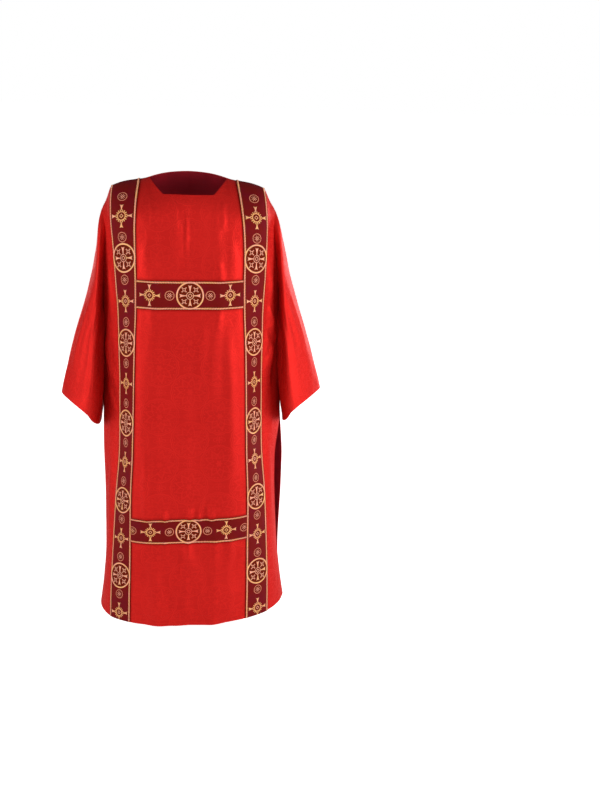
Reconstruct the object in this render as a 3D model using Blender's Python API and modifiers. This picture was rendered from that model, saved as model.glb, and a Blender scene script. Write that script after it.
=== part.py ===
"""A dalmatic: the wide, T-shaped liturgical tunic, hollow and filled out as it hangs from the shoulders.

Metres, +Z up. The origin is the middle of the neck opening, at the height of the neck points, where
the wearer's neck and shoulders carry the garment. -Y is the front and +X is the wearer's left.

Front and back panels are lofts through horizontal sections. A place on a panel is (p, z): z is the
height, and p counts key points outwards from the middle: 0 the middle, 1 and 2 the inner and outer
edge of the clavus (the vertical orphrey band), 3 the fold beside the arm, 4 the armhole or side seam.
The wearer's left is +p and the wearer's right is -p.
"""

import functools
import math
from collections import namedtuple

import bpy
import numpy as np
from mathutils import Vector

# ---------------------------------------------------------------- driving dimensions
LENGTH = 1.262
BAND_WIDTH = 0.076
CLOTH = 0.002
BRAID = 0.0012
LAY = 0.0004
SEAM = 0.0015
SHOULDER_TRIM = SEAM * 0.7
# A clavus stops this share of its last row above the hem, and a cross band this share of its end
# column short of the clavus.
CLAVUS_SHORT = 0.03
BAND_SHORT = 0.025
UNDERARM = -0.430
SLIT_TOP = -0.660
# Below a height the panels curve round the side into each other, over a stretch.
SIDE_FROM, SIDE_OVER = UNDERARM + 0.04, 0.10

NECK_CORNER = 0.50
NECK_TIP = 0.81
FRONT_NECK_DROP = -0.035
BACK_NECK_RISE = 0.012

CHEST_BAND = (-0.256, -0.332)
BACK_BAND = (-0.226, -0.302)
LOW_BAND = (-0.939, -1.011)
HEM = -LENGTH
HEM_DIP = 0.004

# Each row is one horizontal section of half a panel. centre is its depth in the middle, crown how far
# the inner clavus edge lies behind that, turn how many degrees the clavus faces sideways, and the fold
# and seam columns are the last two key points, with y measured forwards on the front and backwards on
# the back.
Section = namedtuple("Section", "z centre crown band_x turn fold_x fold_y seam_x seam_y")
FRONT = (
    Section(0.050, 0.076, 0.004, 0.126, 4, 0.216, 0.052, 0.240, 0.040),
    Section(0.000, 0.094, 0.006, 0.129, 8, 0.220, 0.056, 0.241, 0.042),
    Section(-0.060, 0.114, 0.010, 0.137, 18, 0.2225, 0.062, 0.239, 0.046),
    Section(-0.130, 0.132, 0.015, 0.142, 28, 0.2190, 0.063, 0.2285, 0.047),
    Section(-0.200, 0.146, 0.019, 0.143, 34, 0.2225, 0.060, 0.2345, 0.039),
    Section(-0.265, 0.155, 0.021, 0.142, 37, 0.2255, 0.054, 0.2400, 0.027),
    Section(-0.340, 0.160, 0.020, 0.143, 43, 0.2280, 0.048, 0.2450, 0.010),
    Section(-0.430, 0.161, 0.018, 0.147, 48, 0.2300, 0.045, 0.2500, -0.004),
    Section(-0.560, 0.158, 0.015, 0.151, 52, 0.2300, 0.046, 0.2525, -0.004),
    Section(-0.740, 0.157, 0.015, 0.156, 53, 0.2360, 0.043, 0.2560, -0.004),
    Section(-0.900, 0.160, 0.018, 0.163, 47, 0.240, 0.048, 0.254, -0.002),
    Section(-1.060, 0.169, 0.023, 0.165, 39, 0.246, 0.058, 0.256, 0.000),
    Section(-1.170, 0.180, 0.028, 0.167, 35, 0.256, 0.060, 0.264, 0.002),
    Section(-1.290, 0.194, 0.034, 0.168, 32, 0.268, 0.064, 0.281, 0.006),
)
BACK = (
    Section(0.050, 0.070, 0.004, 0.126, 4, 0.216, 0.050, 0.240, 0.040),
    Section(0.000, 0.092, 0.008, 0.130, 8, 0.221, 0.056, 0.241, 0.044),
    Section(-0.060, 0.118, 0.014, 0.139, 14, 0.2240, 0.064, 0.239, 0.050),
    Section(-0.130, 0.140, 0.019, 0.144, 22, 0.2230, 0.068, 0.2300, 0.052),
    Section(-0.200, 0.152, 0.022, 0.146, 28, 0.2245, 0.066, 0.2355, 0.044),
    Section(-0.265, 0.158, 0.023, 0.147, 33, 0.2265, 0.062, 0.2410, 0.033),
    Section(-0.340, 0.160, 0.022, 0.148, 39, 0.2290, 0.057, 0.2455, 0.018),
    Section(-0.430, 0.158, 0.020, 0.150, 45, 0.2300, 0.052, 0.2500, 0.004),
    Section(-0.560, 0.153, 0.017, 0.153, 50, 0.2300, 0.052, 0.2525, 0.004),
    Section(-0.740, 0.153, 0.016, 0.157, 53, 0.2360, 0.050, 0.2560, 0.004),
    Section(-0.900, 0.160, 0.018, 0.160, 50, 0.242, 0.052, 0.256, 0.006),
    Section(-1.060, 0.172, 0.023, 0.162, 43, 0.245, 0.060, 0.254, 0.010),
    Section(-1.170, 0.183, 0.028, 0.164, 39, 0.249, 0.066, 0.257, 0.012),
    Section(-1.290, 0.198, 0.034, 0.166, 36, 0.258, 0.072, 0.267, 0.014),
)

# The ridge of the shoulder along p: its height, the drop over which the cloth rounds off below it,
# and how many degrees behind the ridge the shoulder seam runs.
Ridge = namedtuple("Ridge", "p z drop seam_turn")
SHOULDER = (
    Ridge(0.00, 0.046, 0.130, 0),
    Ridge(0.40, 0.033, 0.126, 0),
    Ridge(NECK_TIP, 0.001, 0.114, 0),
    Ridge(1.00, -0.005, 0.110, 16),
    Ridge(1.50, -0.013, 0.106, 30),
    Ridge(2.00, -0.027, 0.100, 42),
    Ridge(2.50, -0.044, 0.092, 48),
    Ridge(3.00, -0.060, 0.082, 52),
    Ridge(4.00, -0.084, 0.066, 52),
)

# At the side slits the four free edges part. out is how far an edge stands off the seam line by mid
# slit, and apart how far it draws away from its neighbour. They open and come back over these heights,
# and the fold beside them follows in part.
SLIT_OPENS_OVER, SLIT_CLOSES_OVER = 0.16, 0.50
FOLD_FOLLOWS = 0.3
Slit = namedtuple("Slit", "out apart")
SLITS = {
    ("front", 1): Slit(-0.0130, 0.007),
    ("back", 1): Slit(0.008, 0.005),
    ("front", -1): Slit(0.0010, 0.005),
    ("back", -1): Slit(-0.003, 0.007),
}

# Soft vertical folds between the clavi and beside them. A negative rise is a trough, and a fold swells
# and dies away over a share of its length at each end.
FOLD_ENDS = 0.35
Fold = namedtuple("Fold", "panel p width rise top bottom")
FOLDS = (
    Fold("front", -0.10, 0.22, -0.0030, -0.050, -0.250),
    Fold("front", 0.55, 0.26, 0.0035, -0.080, -0.560),
    Fold("front", -0.62, 0.24, 0.0030, -0.120, -0.640),
    Fold("front", 0.20, 0.30, -0.0040, -0.480, -0.990),
    Fold("front", -0.35, 0.26, -0.0030, -0.560, -0.960),
    Fold("front", 0.46, 0.22, 0.0060, -0.930, -1.400),
    Fold("front", -0.50, 0.26, 0.0060, -0.960, -1.400),
    Fold("front", 0.02, 0.24, -0.0050, -0.980, -1.400),
    Fold("back", 0.00, 0.22, 0.0070, -0.280, -1.100),
    Fold("back", 0.36, 0.20, -0.0060, -0.330, -0.980),
    Fold("back", -0.34, 0.22, -0.0065, -0.300, -1.000),
    Fold("back", 0.66, 0.22, 0.0055, -0.320, -0.960),
    Fold("back", -0.66, 0.22, 0.0060, -0.330, -1.020),
    Fold("back", 0.42, 0.26, 0.0060, -0.960, -1.400),
    Fold("back", -0.30, 0.28, 0.0070, -0.990, -1.400),
)

# How the even garment hangs: below the shoulders it swings to the wearer's left by shift, its front
# lies skew to the right of its sides, and it rises to the left by tilt. skew is read at HALF_DEPTH.
HALF_DEPTH = 0.160
Hang = namedtuple("Hang", "z shift skew tilt")
HANG = (
    Hang(0.050, 0.000, 0.000, 0.000),
    Hang(0.000, 0.000, 0.000, 0.000),
    Hang(-0.200, 0.008, 0.004, 0.005),
    Hang(-0.450, 0.010, 0.006, 0.012),
    Hang(-0.940, 0.012, 0.012, 0.020),
    Hang(-1.270, 0.013, 0.016, 0.014),
)

# Horizontal sections of a sleeve: out_x is its outer edge, bulge how far out between its two edges the
# deepest place is, and front and back how far the cloth stands before and behind the armhole. off is how
# far the inner edge hangs off the body's side seam.
Ring = namedtuple("Ring", "z out_x bulge front back off")
SLEEVE = (
    Ring(-0.084, 0.2372, 0.60, 0.000, 0.000, 0.0000),
    Ring(-0.130, 0.2490, 0.50, 0.018, 0.018, 0.0000),
    Ring(-0.200, 0.2635, 0.40, 0.034, 0.034, 0.0000),
    Ring(-0.265, 0.2775, 0.34, 0.049, 0.048, 0.0000),
    Ring(-0.340, 0.2985, 0.30, 0.066, 0.064, 0.0000),
    Ring(-0.430, 0.3265, 0.28, 0.082, 0.084, 0.0000),
    Ring(-0.530, 0.3535, 0.28, 0.094, 0.098, 0.0000),
    Ring(-0.620, 0.3755, 0.28, 0.104, 0.107, 0.0006),
    Ring(-0.700, 0.3905, 0.28, 0.110, 0.113, 0.0095),
)
CUFF_MIDDLE, CUFF_SLANT = -0.648, 0.047
# Towards the underarm the sleeve draws this far clear of the body, over a stretch below a height.
PINCH = 0.0012
PINCH_FROM, PINCH_OVER = -0.280, 0.080
# Over the shoulder the sleeve runs on from the panel, and below a height it turns back into a valley.
VALLEY_FROM, VALLEY_OVER = -0.095, 0.110
# A place on the panel just inside the armhole, and how much of the armhole's own depth the sleeve keeps.
BESIDE_ARMHOLE = 3.6
DEPTH_KEPT = 0.7

# Key columns and rows of the panel grids.
COLUMNS = (0, 0.25, NECK_CORNER, 0.60, 0.70, 0.76, NECK_TIP, 0.90, 1, 1.5, 2, 2.33, 2.67, 3, 3.33, 3.67, 4)
ROWS_TO_BAND = 9
ROWS_IN_BAND = 2
ROWS_TO_UNDERARM = 3
ROWS_TO_LOW_BAND = 8
ROWS_TO_HEM = 4
ARCH_STEPS, FALL_STEPS = 60, 30
SLEEVE_RINGS = (0, 0.03, 0.075, 0.13, 0.20, 0.29, 0.40, 0.52, 0.68, 0.84, 1)


# ---------------------------------------------------------------- curves through tables
@functools.lru_cache(maxsize=None)
def curve_of(table, key, column):
    """Knots, values and slopes of a monotone cubic through one column of a table."""
    rows = sorted(table, key=lambda row: getattr(row, key))
    at = np.array([getattr(row, key) for row in rows], float)
    value = np.array([getattr(row, column) for row in rows], float)
    step = np.diff(at)
    rate = np.diff(value) / step
    slope = np.empty(len(at))
    slope[0], slope[-1] = rate[0], rate[-1]
    for i in range(1, len(rate)):
        if rate[i - 1] * rate[i] <= 0:
            slope[i] = 0.0
        else:
            before, after = 2 * step[i] + step[i - 1], step[i] + 2 * step[i - 1]
            slope[i] = (before + after) / (before / rate[i - 1] + after / rate[i])
    return at.tolist(), value.tolist(), slope.tolist()


def read(table, key, column, where):
    """One column of a table, read smoothly between its rows and straight on past its ends."""
    at, value, slope = curve_of(table, key, column)
    if where <= at[0]:
        return value[0] + slope[0] * (where - at[0])
    if where >= at[-1]:
        return value[-1] + slope[-1] * (where - at[-1])
    i = int(np.searchsorted(at, where, side="right")) - 1
    step = at[i + 1] - at[i]
    t = (where - at[i]) / step
    return (
        value[i] * (1 + 2 * t) * (1 - t) ** 2
        + slope[i] * step * t * (1 - t) ** 2
        + value[i + 1] * t * t * (3 - 2 * t)
        + slope[i + 1] * step * t * t * (t - 1)
    )


def through(keys, i, t):
    """A point on the smooth curve through keys, a share t of the way from key i to key i + 1."""
    a, b = Vector(keys[i]), Vector(keys[i + 1])
    span = (b - a).length
    lead, tail = a - Vector(keys[i - 1]), Vector(keys[i + 2]) - b
    tangent_a = ((b - a) * (lead.length / span) + lead * (span / lead.length)) / (span + lead.length)
    tangent_b = ((b - a) * (tail.length / span) + tail * (span / tail.length)) / (span + tail.length)
    return (
        a * ((1 + 2 * t) * (1 - t) ** 2)
        + tangent_a * (span * t * (1 - t) ** 2)
        + b * (t * t * (3 - 2 * t))
        + tangent_b * (span * t * t * (t - 1))
    )


def ease(t):
    """0 to 1 with level ends."""
    t = min(max(t, 0.0), 1.0)
    return t * t * (3 - 2 * t)


# ---------------------------------------------------------------- the body of the garment
def section_keys(panel, hand, z):
    """The key points of one half section, as (x, forward) with forward towards that panel's side."""
    table = FRONT if panel == "front" else BACK
    row = Section(z, *(read(table, "z", name, z) for name in Section._fields[1:]))
    turn = math.radians(row.turn)
    inner = (row.band_x, row.centre - row.crown)
    outer = (inner[0] + BAND_WIDTH * math.cos(turn), inner[1] - BAND_WIDTH * math.sin(turn))
    slit = SLITS[panel, hand]
    opening = ease((SLIT_TOP - z) / SLIT_OPENS_OVER)
    standing = slit.out * opening * ease((z - HEM) / SLIT_CLOSES_OVER)
    fold = (row.fold_x + FOLD_FOLLOWS * standing, row.fold_y)
    seam = (row.seam_x + standing, row.seam_y + slit.apart * opening)
    rest = Vector(seam) * 2 - Vector(fold)
    round_the_side = Vector((fold[0], -fold[1]))
    past = rest.lerp(round_the_side, ease((SIDE_FROM - z) / SIDE_OVER))
    return (-inner[0], inner[1]), (0.0, row.centre), inner, outer, fold, seam, tuple(past)


def fold_rise(panel, p, z):
    """How far the soft folds lift the cloth at a place on a panel."""
    rise = 0.0
    for fold in FOLDS:
        if fold.panel == panel and fold.bottom < z < fold.top:
            across = (p - fold.p) / fold.width
            if abs(across) < 1:
                share = (fold.top - z) / (fold.top - fold.bottom)
                swell = ease(share / FOLD_ENDS) * ease((1 - share) / FOLD_ENDS)
                rise += fold.rise * swell * (1 + math.cos(math.pi * across)) / 2
    return rise


def body_point(panel, p, z):
    """A point on the outer face of a panel."""
    hand = -1 if p < 0 else 1
    outwards = abs(p)
    i = min(int(outwards), 3)
    keys = section_keys(panel, hand, z)
    x, forward = through(keys, i + 1, outwards - i)
    forward += fold_rise(panel, p, z)
    ridge = read(SHOULDER, "p", "z", outwards)
    below = (ridge - z) / read(SHOULDER, "p", "drop", outwards)
    if below < 1:
        forward *= math.sqrt(max(0.0, 1 - (1 - below) ** 2))
    side = -1 if panel == "front" else 1
    return Vector((hand * x, side * forward, z))


def hang(v):
    """A point of the even garment moved to where it hangs in fact."""
    row = Hang(v.z, *(read(HANG, "z", name, v.z) for name in Hang._fields[1:]))
    return Vector((v.x + row.shift + row.skew * v.y / HALF_DEPTH, v.y, v.z + row.tilt * v.x))


def ridge_height(outwards, turn):
    """The height of the cloth a given turn, in degrees, below the shoulder's ridge."""
    drop = read(SHOULDER, "p", "drop", outwards)
    return read(SHOULDER, "p", "z", outwards) - drop * (1 - math.cos(math.radians(turn)))


def neckline(panel, outwards):
    """The height of the neck edge at |p| inside the neck points."""
    if panel == "back":
        return ridge_height(NECK_TIP, 0) + BACK_NECK_RISE * (1 - (outwards / NECK_TIP) ** 2)
    side = (outwards - NECK_CORNER) / (NECK_TIP - NECK_CORNER)
    return FRONT_NECK_DROP + max(side, 0.0) * (ridge_height(NECK_TIP, 0) - FRONT_NECK_DROP)


def upper_run(panel, p, low):
    """The line down a panel at p, from its neck edge or shoulder seam to height low."""
    outwards = abs(p)
    if outwards < NECK_TIP:
        top = neckline(panel, outwards)
        drop = read(SHOULDER, "p", "drop", outwards)
        start = math.degrees(math.acos(1 - (read(SHOULDER, "p", "z", outwards) - top) / drop))
    else:
        start = read(SHOULDER, "p", "seam_turn", outwards) * (-1 if panel == "front" else 1)
    run = []
    for turn in np.linspace(start, 90, ARCH_STEPS):
        on = panel if turn >= 0 else "back"
        run.append(body_point(on, p, ridge_height(outwards, abs(turn))))
    run += [body_point(panel, p, z) for z in np.linspace(ridge_height(outwards, 90), low, FALL_STEPS)[1:]]
    trim = 0.0 if outwards < NECK_TIP else SHOULDER_TRIM
    return run, trim


def spread(run, count, trim=0.0):
    """count + 1 points spaced evenly along a run of points, from trim past its start to its end."""
    far = np.concatenate([[0], np.cumsum([(b - a).length for a, b in zip(run, run[1:])])])
    places = np.linspace(trim, far[-1], count + 1)
    return [Vector(v) for v in zip(*(np.interp(places, far, [q[k] for q in run]) for k in range(3)))]


def hem_height(p):
    """The hem dips a little in the middle."""
    return HEM + HEM_DIP * ease(abs(p) / 4)


def panel_column(panel, p):
    """The grid points of a panel down one column, from its top edge to the hem."""
    top, bottom = CHEST_BAND if panel == "front" else BACK_BAND
    run, trim = upper_run(panel, p, top)
    column = spread(run, ROWS_TO_BAND, trim)
    stretches = (
        (top, bottom, ROWS_IN_BAND),
        (bottom, UNDERARM, ROWS_TO_UNDERARM),
        (UNDERARM, LOW_BAND[0], ROWS_TO_LOW_BAND),
        (*LOW_BAND, ROWS_IN_BAND),
        (LOW_BAND[1], hem_height(p), ROWS_TO_HEM),
    )
    for high, low, count in stretches:
        column += [body_point(panel, p, z) for z in np.linspace(high, low, count + 1)[1:]]
    return column


def drawn_back(edge, inner, closed=False):
    """An edge of a piece moved half a seam gap into the piece, square to the edge."""
    moved = []
    for k, (point, within) in enumerate(zip(edge, inner)):
        before = edge[k - 1] if k or closed else point
        after = edge[(k + 1) % len(edge)] if k + 1 < len(edge) or closed else point
        along = (after - before).normalized()
        inwards = within - point
        inwards -= along * inwards.dot(along)
        moved.append(point + inwards.normalized() * (SEAM / 2))
    return moved


# ---------------------------------------------------------------- meshes and pieces
def material(name, colour, roughness, metallic=0.0):
    made = bpy.data.materials.new(name)
    made.use_nodes = True
    shader = made.node_tree.nodes["Principled BSDF"]
    shader.inputs["Base Color"].default_value = (*colour, 1.0)
    shader.inputs["Roughness"].default_value = roughness
    shader.inputs["Metallic"].default_value = metallic
    return made


def grid_faces(places, rows, closed=False):
    """Triangles of a grid stored column by column. Right and left halves split their squares in
    mirrored ways, and a braid's grid splits them as its panel's does."""
    columns = len(places)
    faces = []
    for i in range(columns if closed else columns - 1):
        for j in range(rows - 1):
            a, b = i * rows + j, (i + 1) % columns * rows + j
            if places[i] < 0:
                faces += [(a, a + 1, b), (a + 1, b + 1, b)]
            else:
                faces += [(a, a + 1, b + 1), (a, b + 1, b)]
    return faces


def normals_of(points, faces):
    """Unit vertex normals of a triangle mesh."""
    at = np.array(points)
    tris = np.array(faces)
    cross = np.cross(at[tris[:, 1]] - at[tris[:, 0]], at[tris[:, 2]] - at[tris[:, 0]])
    total = np.zeros_like(at)
    for k in range(3):
        np.add.at(total, tris[:, k], cross)
    return total / np.linalg.norm(total, axis=1, keepdims=True)


def piece(name, points, faces, thickness, offset, finish, collection):
    """A cloth piece: an open sheet given its wall by Solidify."""
    mesh = bpy.data.meshes.new(name)
    mesh.from_pydata([tuple(v) for v in points], [], faces)
    mesh.materials.append(finish)
    mesh.shade_smooth()
    made = bpy.data.objects.new(name, mesh)
    collection.objects.link(made)
    wall = made.modifiers.new("wall", "SOLIDIFY")
    wall.thickness = thickness
    wall.offset = offset
    wall.use_quality_normals = True
    return made


def flip(faces):
    return [(a, c, b) for a, b, c in faces]


def lay_on(grid, normals, columns, rows):
    """Part of a panel's grid moved out by the lay of the braid. columns and rows are index lists."""
    return [Vector(grid[i][j]) + Vector(normals[i][j]) * LAY for i in columns for j in rows]


def make_panel(panel, cloth, braid, collection):
    """A panel with its two clavi and its two cross bands."""
    places = [-p for p in reversed(COLUMNS[1:])] + list(COLUMNS)
    grid = [panel_column(panel, p) for p in places]
    grid[0], grid[-1] = drawn_back(grid[0], grid[1]), drawn_back(grid[-1], grid[-2])
    grid = [[hang(v) for v in column] for column in grid]
    rows = len(grid[0])
    flat = [v for column in grid for v in column]
    faces = grid_faces(places, rows)
    if panel == "back":
        faces = flip(faces)
    piece(f"{panel}_panel", flat, faces, CLOTH, -1, cloth, collection)

    normals = normals_of(flat, faces).reshape(len(grid), rows, 3)
    hand_of = {1: "left", -1: "right"}
    first_low = ROWS_TO_BAND + ROWS_IN_BAND + ROWS_TO_UNDERARM + ROWS_TO_LOW_BAND
    for hand, side in hand_of.items():
        strip = [i for i, p in enumerate(places) if 1 <= p * hand <= 2]
        points = lay_on(grid, normals, strip, range(rows))
        # the braid stops just above the hem fold
        for k in range(len(strip)):
            end, before = points[(k + 1) * rows - 1], points[(k + 1) * rows - 2]
            points[(k + 1) * rows - 1] = end.lerp(before, CLAVUS_SHORT)
        trims = grid_faces([places[i] for i in strip], rows)
        trims = flip(trims) if panel == "back" else trims
        piece(f"{panel}_clavus_{side}", points, trims, BRAID, 1, braid, collection)

    across = [i for i, p in enumerate(places) if abs(p) <= 1]
    for label, start in (("upper", ROWS_TO_BAND), ("lower", first_low)):
        levels = range(start, start + ROWS_IN_BAND + 1)
        points = lay_on(grid, normals, across, levels)
        # the ends stop short of the clavi
        tall = len(levels)
        for k in range(tall):
            points[k] = points[k].lerp(points[tall + k], BAND_SHORT)
            points[-1 - k] = points[-1 - k].lerp(points[-1 - k - tall], BAND_SHORT)
        trims = grid_faces([places[i] for i in across], tall)
        trims = flip(trims) if panel == "back" else trims
        piece(f"{panel}_{label}_band", points, trims, BRAID, 1, braid, collection)
    return grid


def armhole_ring(hand):
    """The armhole's points and their turn round the sleeve: 0 on the shoulder's ridge, 180 under the
    arm, and negative at the back."""
    last = ROWS_TO_BAND + ROWS_IN_BAND + ROWS_TO_UNDERARM
    front = panel_column("front", 4 * hand)[: last + 1]
    loop = front + panel_column("back", 4 * hand)[last - 1 : 0 : -1]
    top = max(range(len(front)), key=lambda k: front[k].z)
    gaps = [(b - a).length for a, b in zip(loop, loop[1:] + loop[:1])]
    down, up = sum(gaps[top:last]), sum(gaps[last:]) + sum(gaps[:top])
    turns = [-180 * sum(gaps[k:top]) / up for k in range(top)]
    turns += [180 * sum(gaps[top:k]) / down for k in range(top, last + 1)]
    turns += [-180 * (sum(gaps[k:]) + sum(gaps[:top])) / up for k in range(last + 1, len(loop))]
    return loop, turns


def sleeve_point(hand, panel, share, z):
    """A point of the sleeve's front or back half, a share of the way from its outer edge round to its
    inner edge or the armhole."""
    ring = Ring(z, *(read(SLEEVE, "z", name, z) for name in Ring._fields[1:]))
    side = -1 if panel == "front" else 1
    seam, fold = body_point(panel, 4 * hand, z), body_point(panel, BESIDE_ARMHOLE * hand, z)
    clear = PINCH * ease((PINCH_FROM - z) / PINCH_OVER) + ring.off
    inner = (hand * seam.x + clear, side * seam.y)
    depth = ring.front if panel == "front" else ring.back
    other = ring.back if panel == "front" else ring.front
    middle = inner[0] + (ring.out_x - inner[0]) * ring.bulge
    deep = (middle, inner[1] * DEPTH_KEPT + depth)
    behind = (middle, -inner[1] * DEPTH_KEPT - other)
    past = Vector((hand * fold.x, side * fold.y))
    past = past.lerp(Vector((middle, -depth)), ease((VALLEY_FROM - z) / VALLEY_OVER))
    keys = (behind, (ring.out_x, 0.0), deep, inner, tuple(past))
    i = 0 if share < 0.5 else 1
    x, forward = through(keys, i + 1, share * 2 - i)
    return Vector((hand * x, side * forward, z))


def make_sleeve(hand, cloth, collection):
    loop, turns = armhole_ring(hand)
    depths = {}
    for side in (1, -1):
        pairs = sorted((point.z, abs(turn)) for point, turn in zip(loop, turns) if turn * side >= 0)
        depths[side] = [z for z, _ in pairs], [turn for _, turn in pairs]
    columns = []
    for start, turn in zip(loop, turns):
        side = 1 if turn >= 0 else -1
        cuff = CUFF_MIDDLE + CUFF_SLANT * math.cos(math.radians(turn))
        column = []
        for z in (start.z + (cuff - start.z) * along for along in SLEEVE_RINGS):
            whole = 180.0 if z <= UNDERARM else float(np.interp(z, *depths[side]))
            share = min(abs(turn) / whole, 1.0) if whole else 0.0
            column.append(sleeve_point(hand, "front" if side > 0 else "back", share, z))
        columns.append(column)
    firsts = drawn_back(loop, [column[1] for column in columns], closed=True)
    points = [hang(v) for first, column in zip(firsts, columns) for v in [first] + column[1:]]
    faces = grid_faces(turns, len(SLEEVE_RINGS), closed=True)
    if hand > 0:
        faces = flip(faces)
    name = "sleeve_left" if hand > 0 else "sleeve_right"
    piece(name, points, faces, CLOTH, -1, cloth, collection)


def main():
    for old in list(bpy.data.objects):
        bpy.data.objects.remove(old)
    collection = bpy.data.collections.new("dalmatic")
    bpy.context.scene.collection.children.link(collection)
    damask = material("red_damask", (0.62, 0.022, 0.018), 0.5)
    orphrey = material("burgundy_orphrey", (0.11, 0.006, 0.016), 0.6)
    for panel in ("front", "back"):
        make_panel(panel, damask, orphrey, collection)
    for hand in (1, -1):
        make_sleeve(hand, damask, collection)


main()
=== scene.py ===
"""Looks of the dalmatic: damask panels and sleeves, woven galloon bands, sewing, light and camera."""

import math
from collections import namedtuple

import bpy
import numpy as np
from mathutils import Matrix, Vector


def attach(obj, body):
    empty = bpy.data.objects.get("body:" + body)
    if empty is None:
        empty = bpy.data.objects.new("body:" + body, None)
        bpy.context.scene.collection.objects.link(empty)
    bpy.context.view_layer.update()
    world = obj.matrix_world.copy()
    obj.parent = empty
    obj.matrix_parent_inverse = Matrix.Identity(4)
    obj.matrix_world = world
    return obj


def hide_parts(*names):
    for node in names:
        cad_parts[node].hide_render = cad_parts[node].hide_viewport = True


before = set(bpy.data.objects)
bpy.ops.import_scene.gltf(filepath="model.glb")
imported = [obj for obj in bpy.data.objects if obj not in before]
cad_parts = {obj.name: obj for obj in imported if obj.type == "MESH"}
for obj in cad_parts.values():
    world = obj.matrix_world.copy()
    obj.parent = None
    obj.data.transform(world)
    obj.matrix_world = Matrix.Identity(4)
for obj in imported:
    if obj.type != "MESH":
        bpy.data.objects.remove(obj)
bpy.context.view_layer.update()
bpy.ops.object.select_all(action="DESELECT")

# ---------------------------------------------------------------- front and back panels
# The body of the garment: two lengths of red damask, joined at the shoulders and down the sides to the
# slits, with crimson lining. They hang from the shoulders in soft upright folds, and the wearer's arms
# draw a few creases from under the sleeves.
BAND_WIDTH = 0.076
CLOTH = 0.0016
UNDERARM = -0.430
SLIT_TOP = -0.660
SIDE_FROM, SIDE_OVER = UNDERARM + 0.04, 0.10
NECK_CORNER = 0.50
NECK_TIP = 0.81
FRONT_NECK_DROP = -0.035
BACK_NECK_RISE = 0.012
HEM = -1.262
HEM_DIP = 0.004
SHOULDER_ROWS_END = -0.300

# Columns of cloth are numbered p: 0 in the middle, 1 and 2 at the clavus's edges, 3 at the last fold before
# the side, 4 at the side seam, and negative on the wearer's right. These are a panel's key points.
Section = namedtuple("Section", "z centre crown band_x turn fold_x fold_y seam_x seam_y")
SECTION_UNITS = (1000, 1000, 1000, 1000, 1, 1000, 1000, 1000, 1000)


def sections(*rows):
    """Horizontal sections of half a panel, in millimetres and degrees, as the part's own cut has them."""
    return [Section(*(value / unit for value, unit in zip(row, SECTION_UNITS))) for row in rows]


FRONT = sections(
    (50, 76, 4, 126, 4, 216, 52, 240, 40),
    (0, 94, 6, 129, 8, 220, 56, 241, 42),
    (-60, 114, 10, 137, 18, 222.5, 62, 239, 46),
    (-130, 132, 15, 142, 28, 219, 63, 228.5, 47),
    (-200, 146, 19, 143, 34, 222.5, 60, 234.5, 39),
    (-265, 155, 21, 142, 37, 225.5, 54, 240, 27),
    (-340, 160, 20, 143, 43, 228, 48, 245, 10),
    (-430, 161, 18, 147, 48, 230, 45, 250, -4),
    (-560, 158, 15, 151, 52, 230, 46, 252.5, -4),
    (-740, 157, 15, 156, 53, 236, 43, 256, -4),
    (-900, 160, 18, 163, 47, 240, 48, 254, -2),
    (-1060, 169, 23, 165, 39, 246, 58, 256, 0),
    (-1170, 180, 28, 167, 35, 256, 60, 264, 2),
    (-1290, 194, 34, 168, 32, 268, 64, 281, 6),
)
BACK = sections(
    (50, 70, 4, 126, 4, 216, 50, 240, 40),
    (0, 92, 8, 130, 8, 221, 56, 241, 44),
    (-60, 118, 14, 139, 14, 224, 64, 239, 50),
    (-130, 140, 19, 144, 22, 223, 68, 230, 52),
    (-200, 152, 22, 146, 28, 224.5, 66, 235.5, 44),
    (-265, 158, 23, 147, 33, 226.5, 62, 241, 33),
    (-340, 160, 22, 148, 39, 229, 57, 245.5, 18),
    (-430, 158, 20, 150, 45, 230, 52, 250, 4),
    (-560, 153, 17, 153, 50, 230, 52, 252.5, 4),
    (-740, 153, 16, 157, 53, 236, 50, 256, 4),
    (-900, 160, 18, 160, 50, 242, 52, 256, 6),
    (-1060, 172, 23, 162, 43, 245, 60, 254, 10),
    (-1170, 183, 28, 164, 39, 249, 66, 257, 12),
    (-1290, 198, 34, 166, 36, 258, 72, 267, 14),
)
Ridge = namedtuple("Ridge", "p z drop seam_turn")
SHOULDER = [Ridge(*row) for row in (
    (0.00, 0.046, 0.130, 0),
    (0.40, 0.033, 0.126, 0),
    (NECK_TIP, 0.001, 0.114, 0),
    (1.00, -0.005, 0.110, 16),
    (1.50, -0.013, 0.106, 30),
    (2.00, -0.027, 0.100, 42),
    (2.50, -0.044, 0.092, 48),
    (3.00, -0.060, 0.082, 52),
    (4.00, -0.084, 0.066, 52),
)]
# How far each edge of a slit stands out to the side, and how far from the other edge.
SLIT_OPENS_OVER, SLIT_CLOSES_OVER = 0.16, 0.50
FOLD_FOLLOWS = 0.3
SLITS = {
    ("front", 1): (-0.0130, 0.007),
    ("back", 1): (0.008, 0.005),
    ("front", -1): (0.0010, 0.005),
    ("back", -1): (-0.003, 0.007),
}
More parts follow.
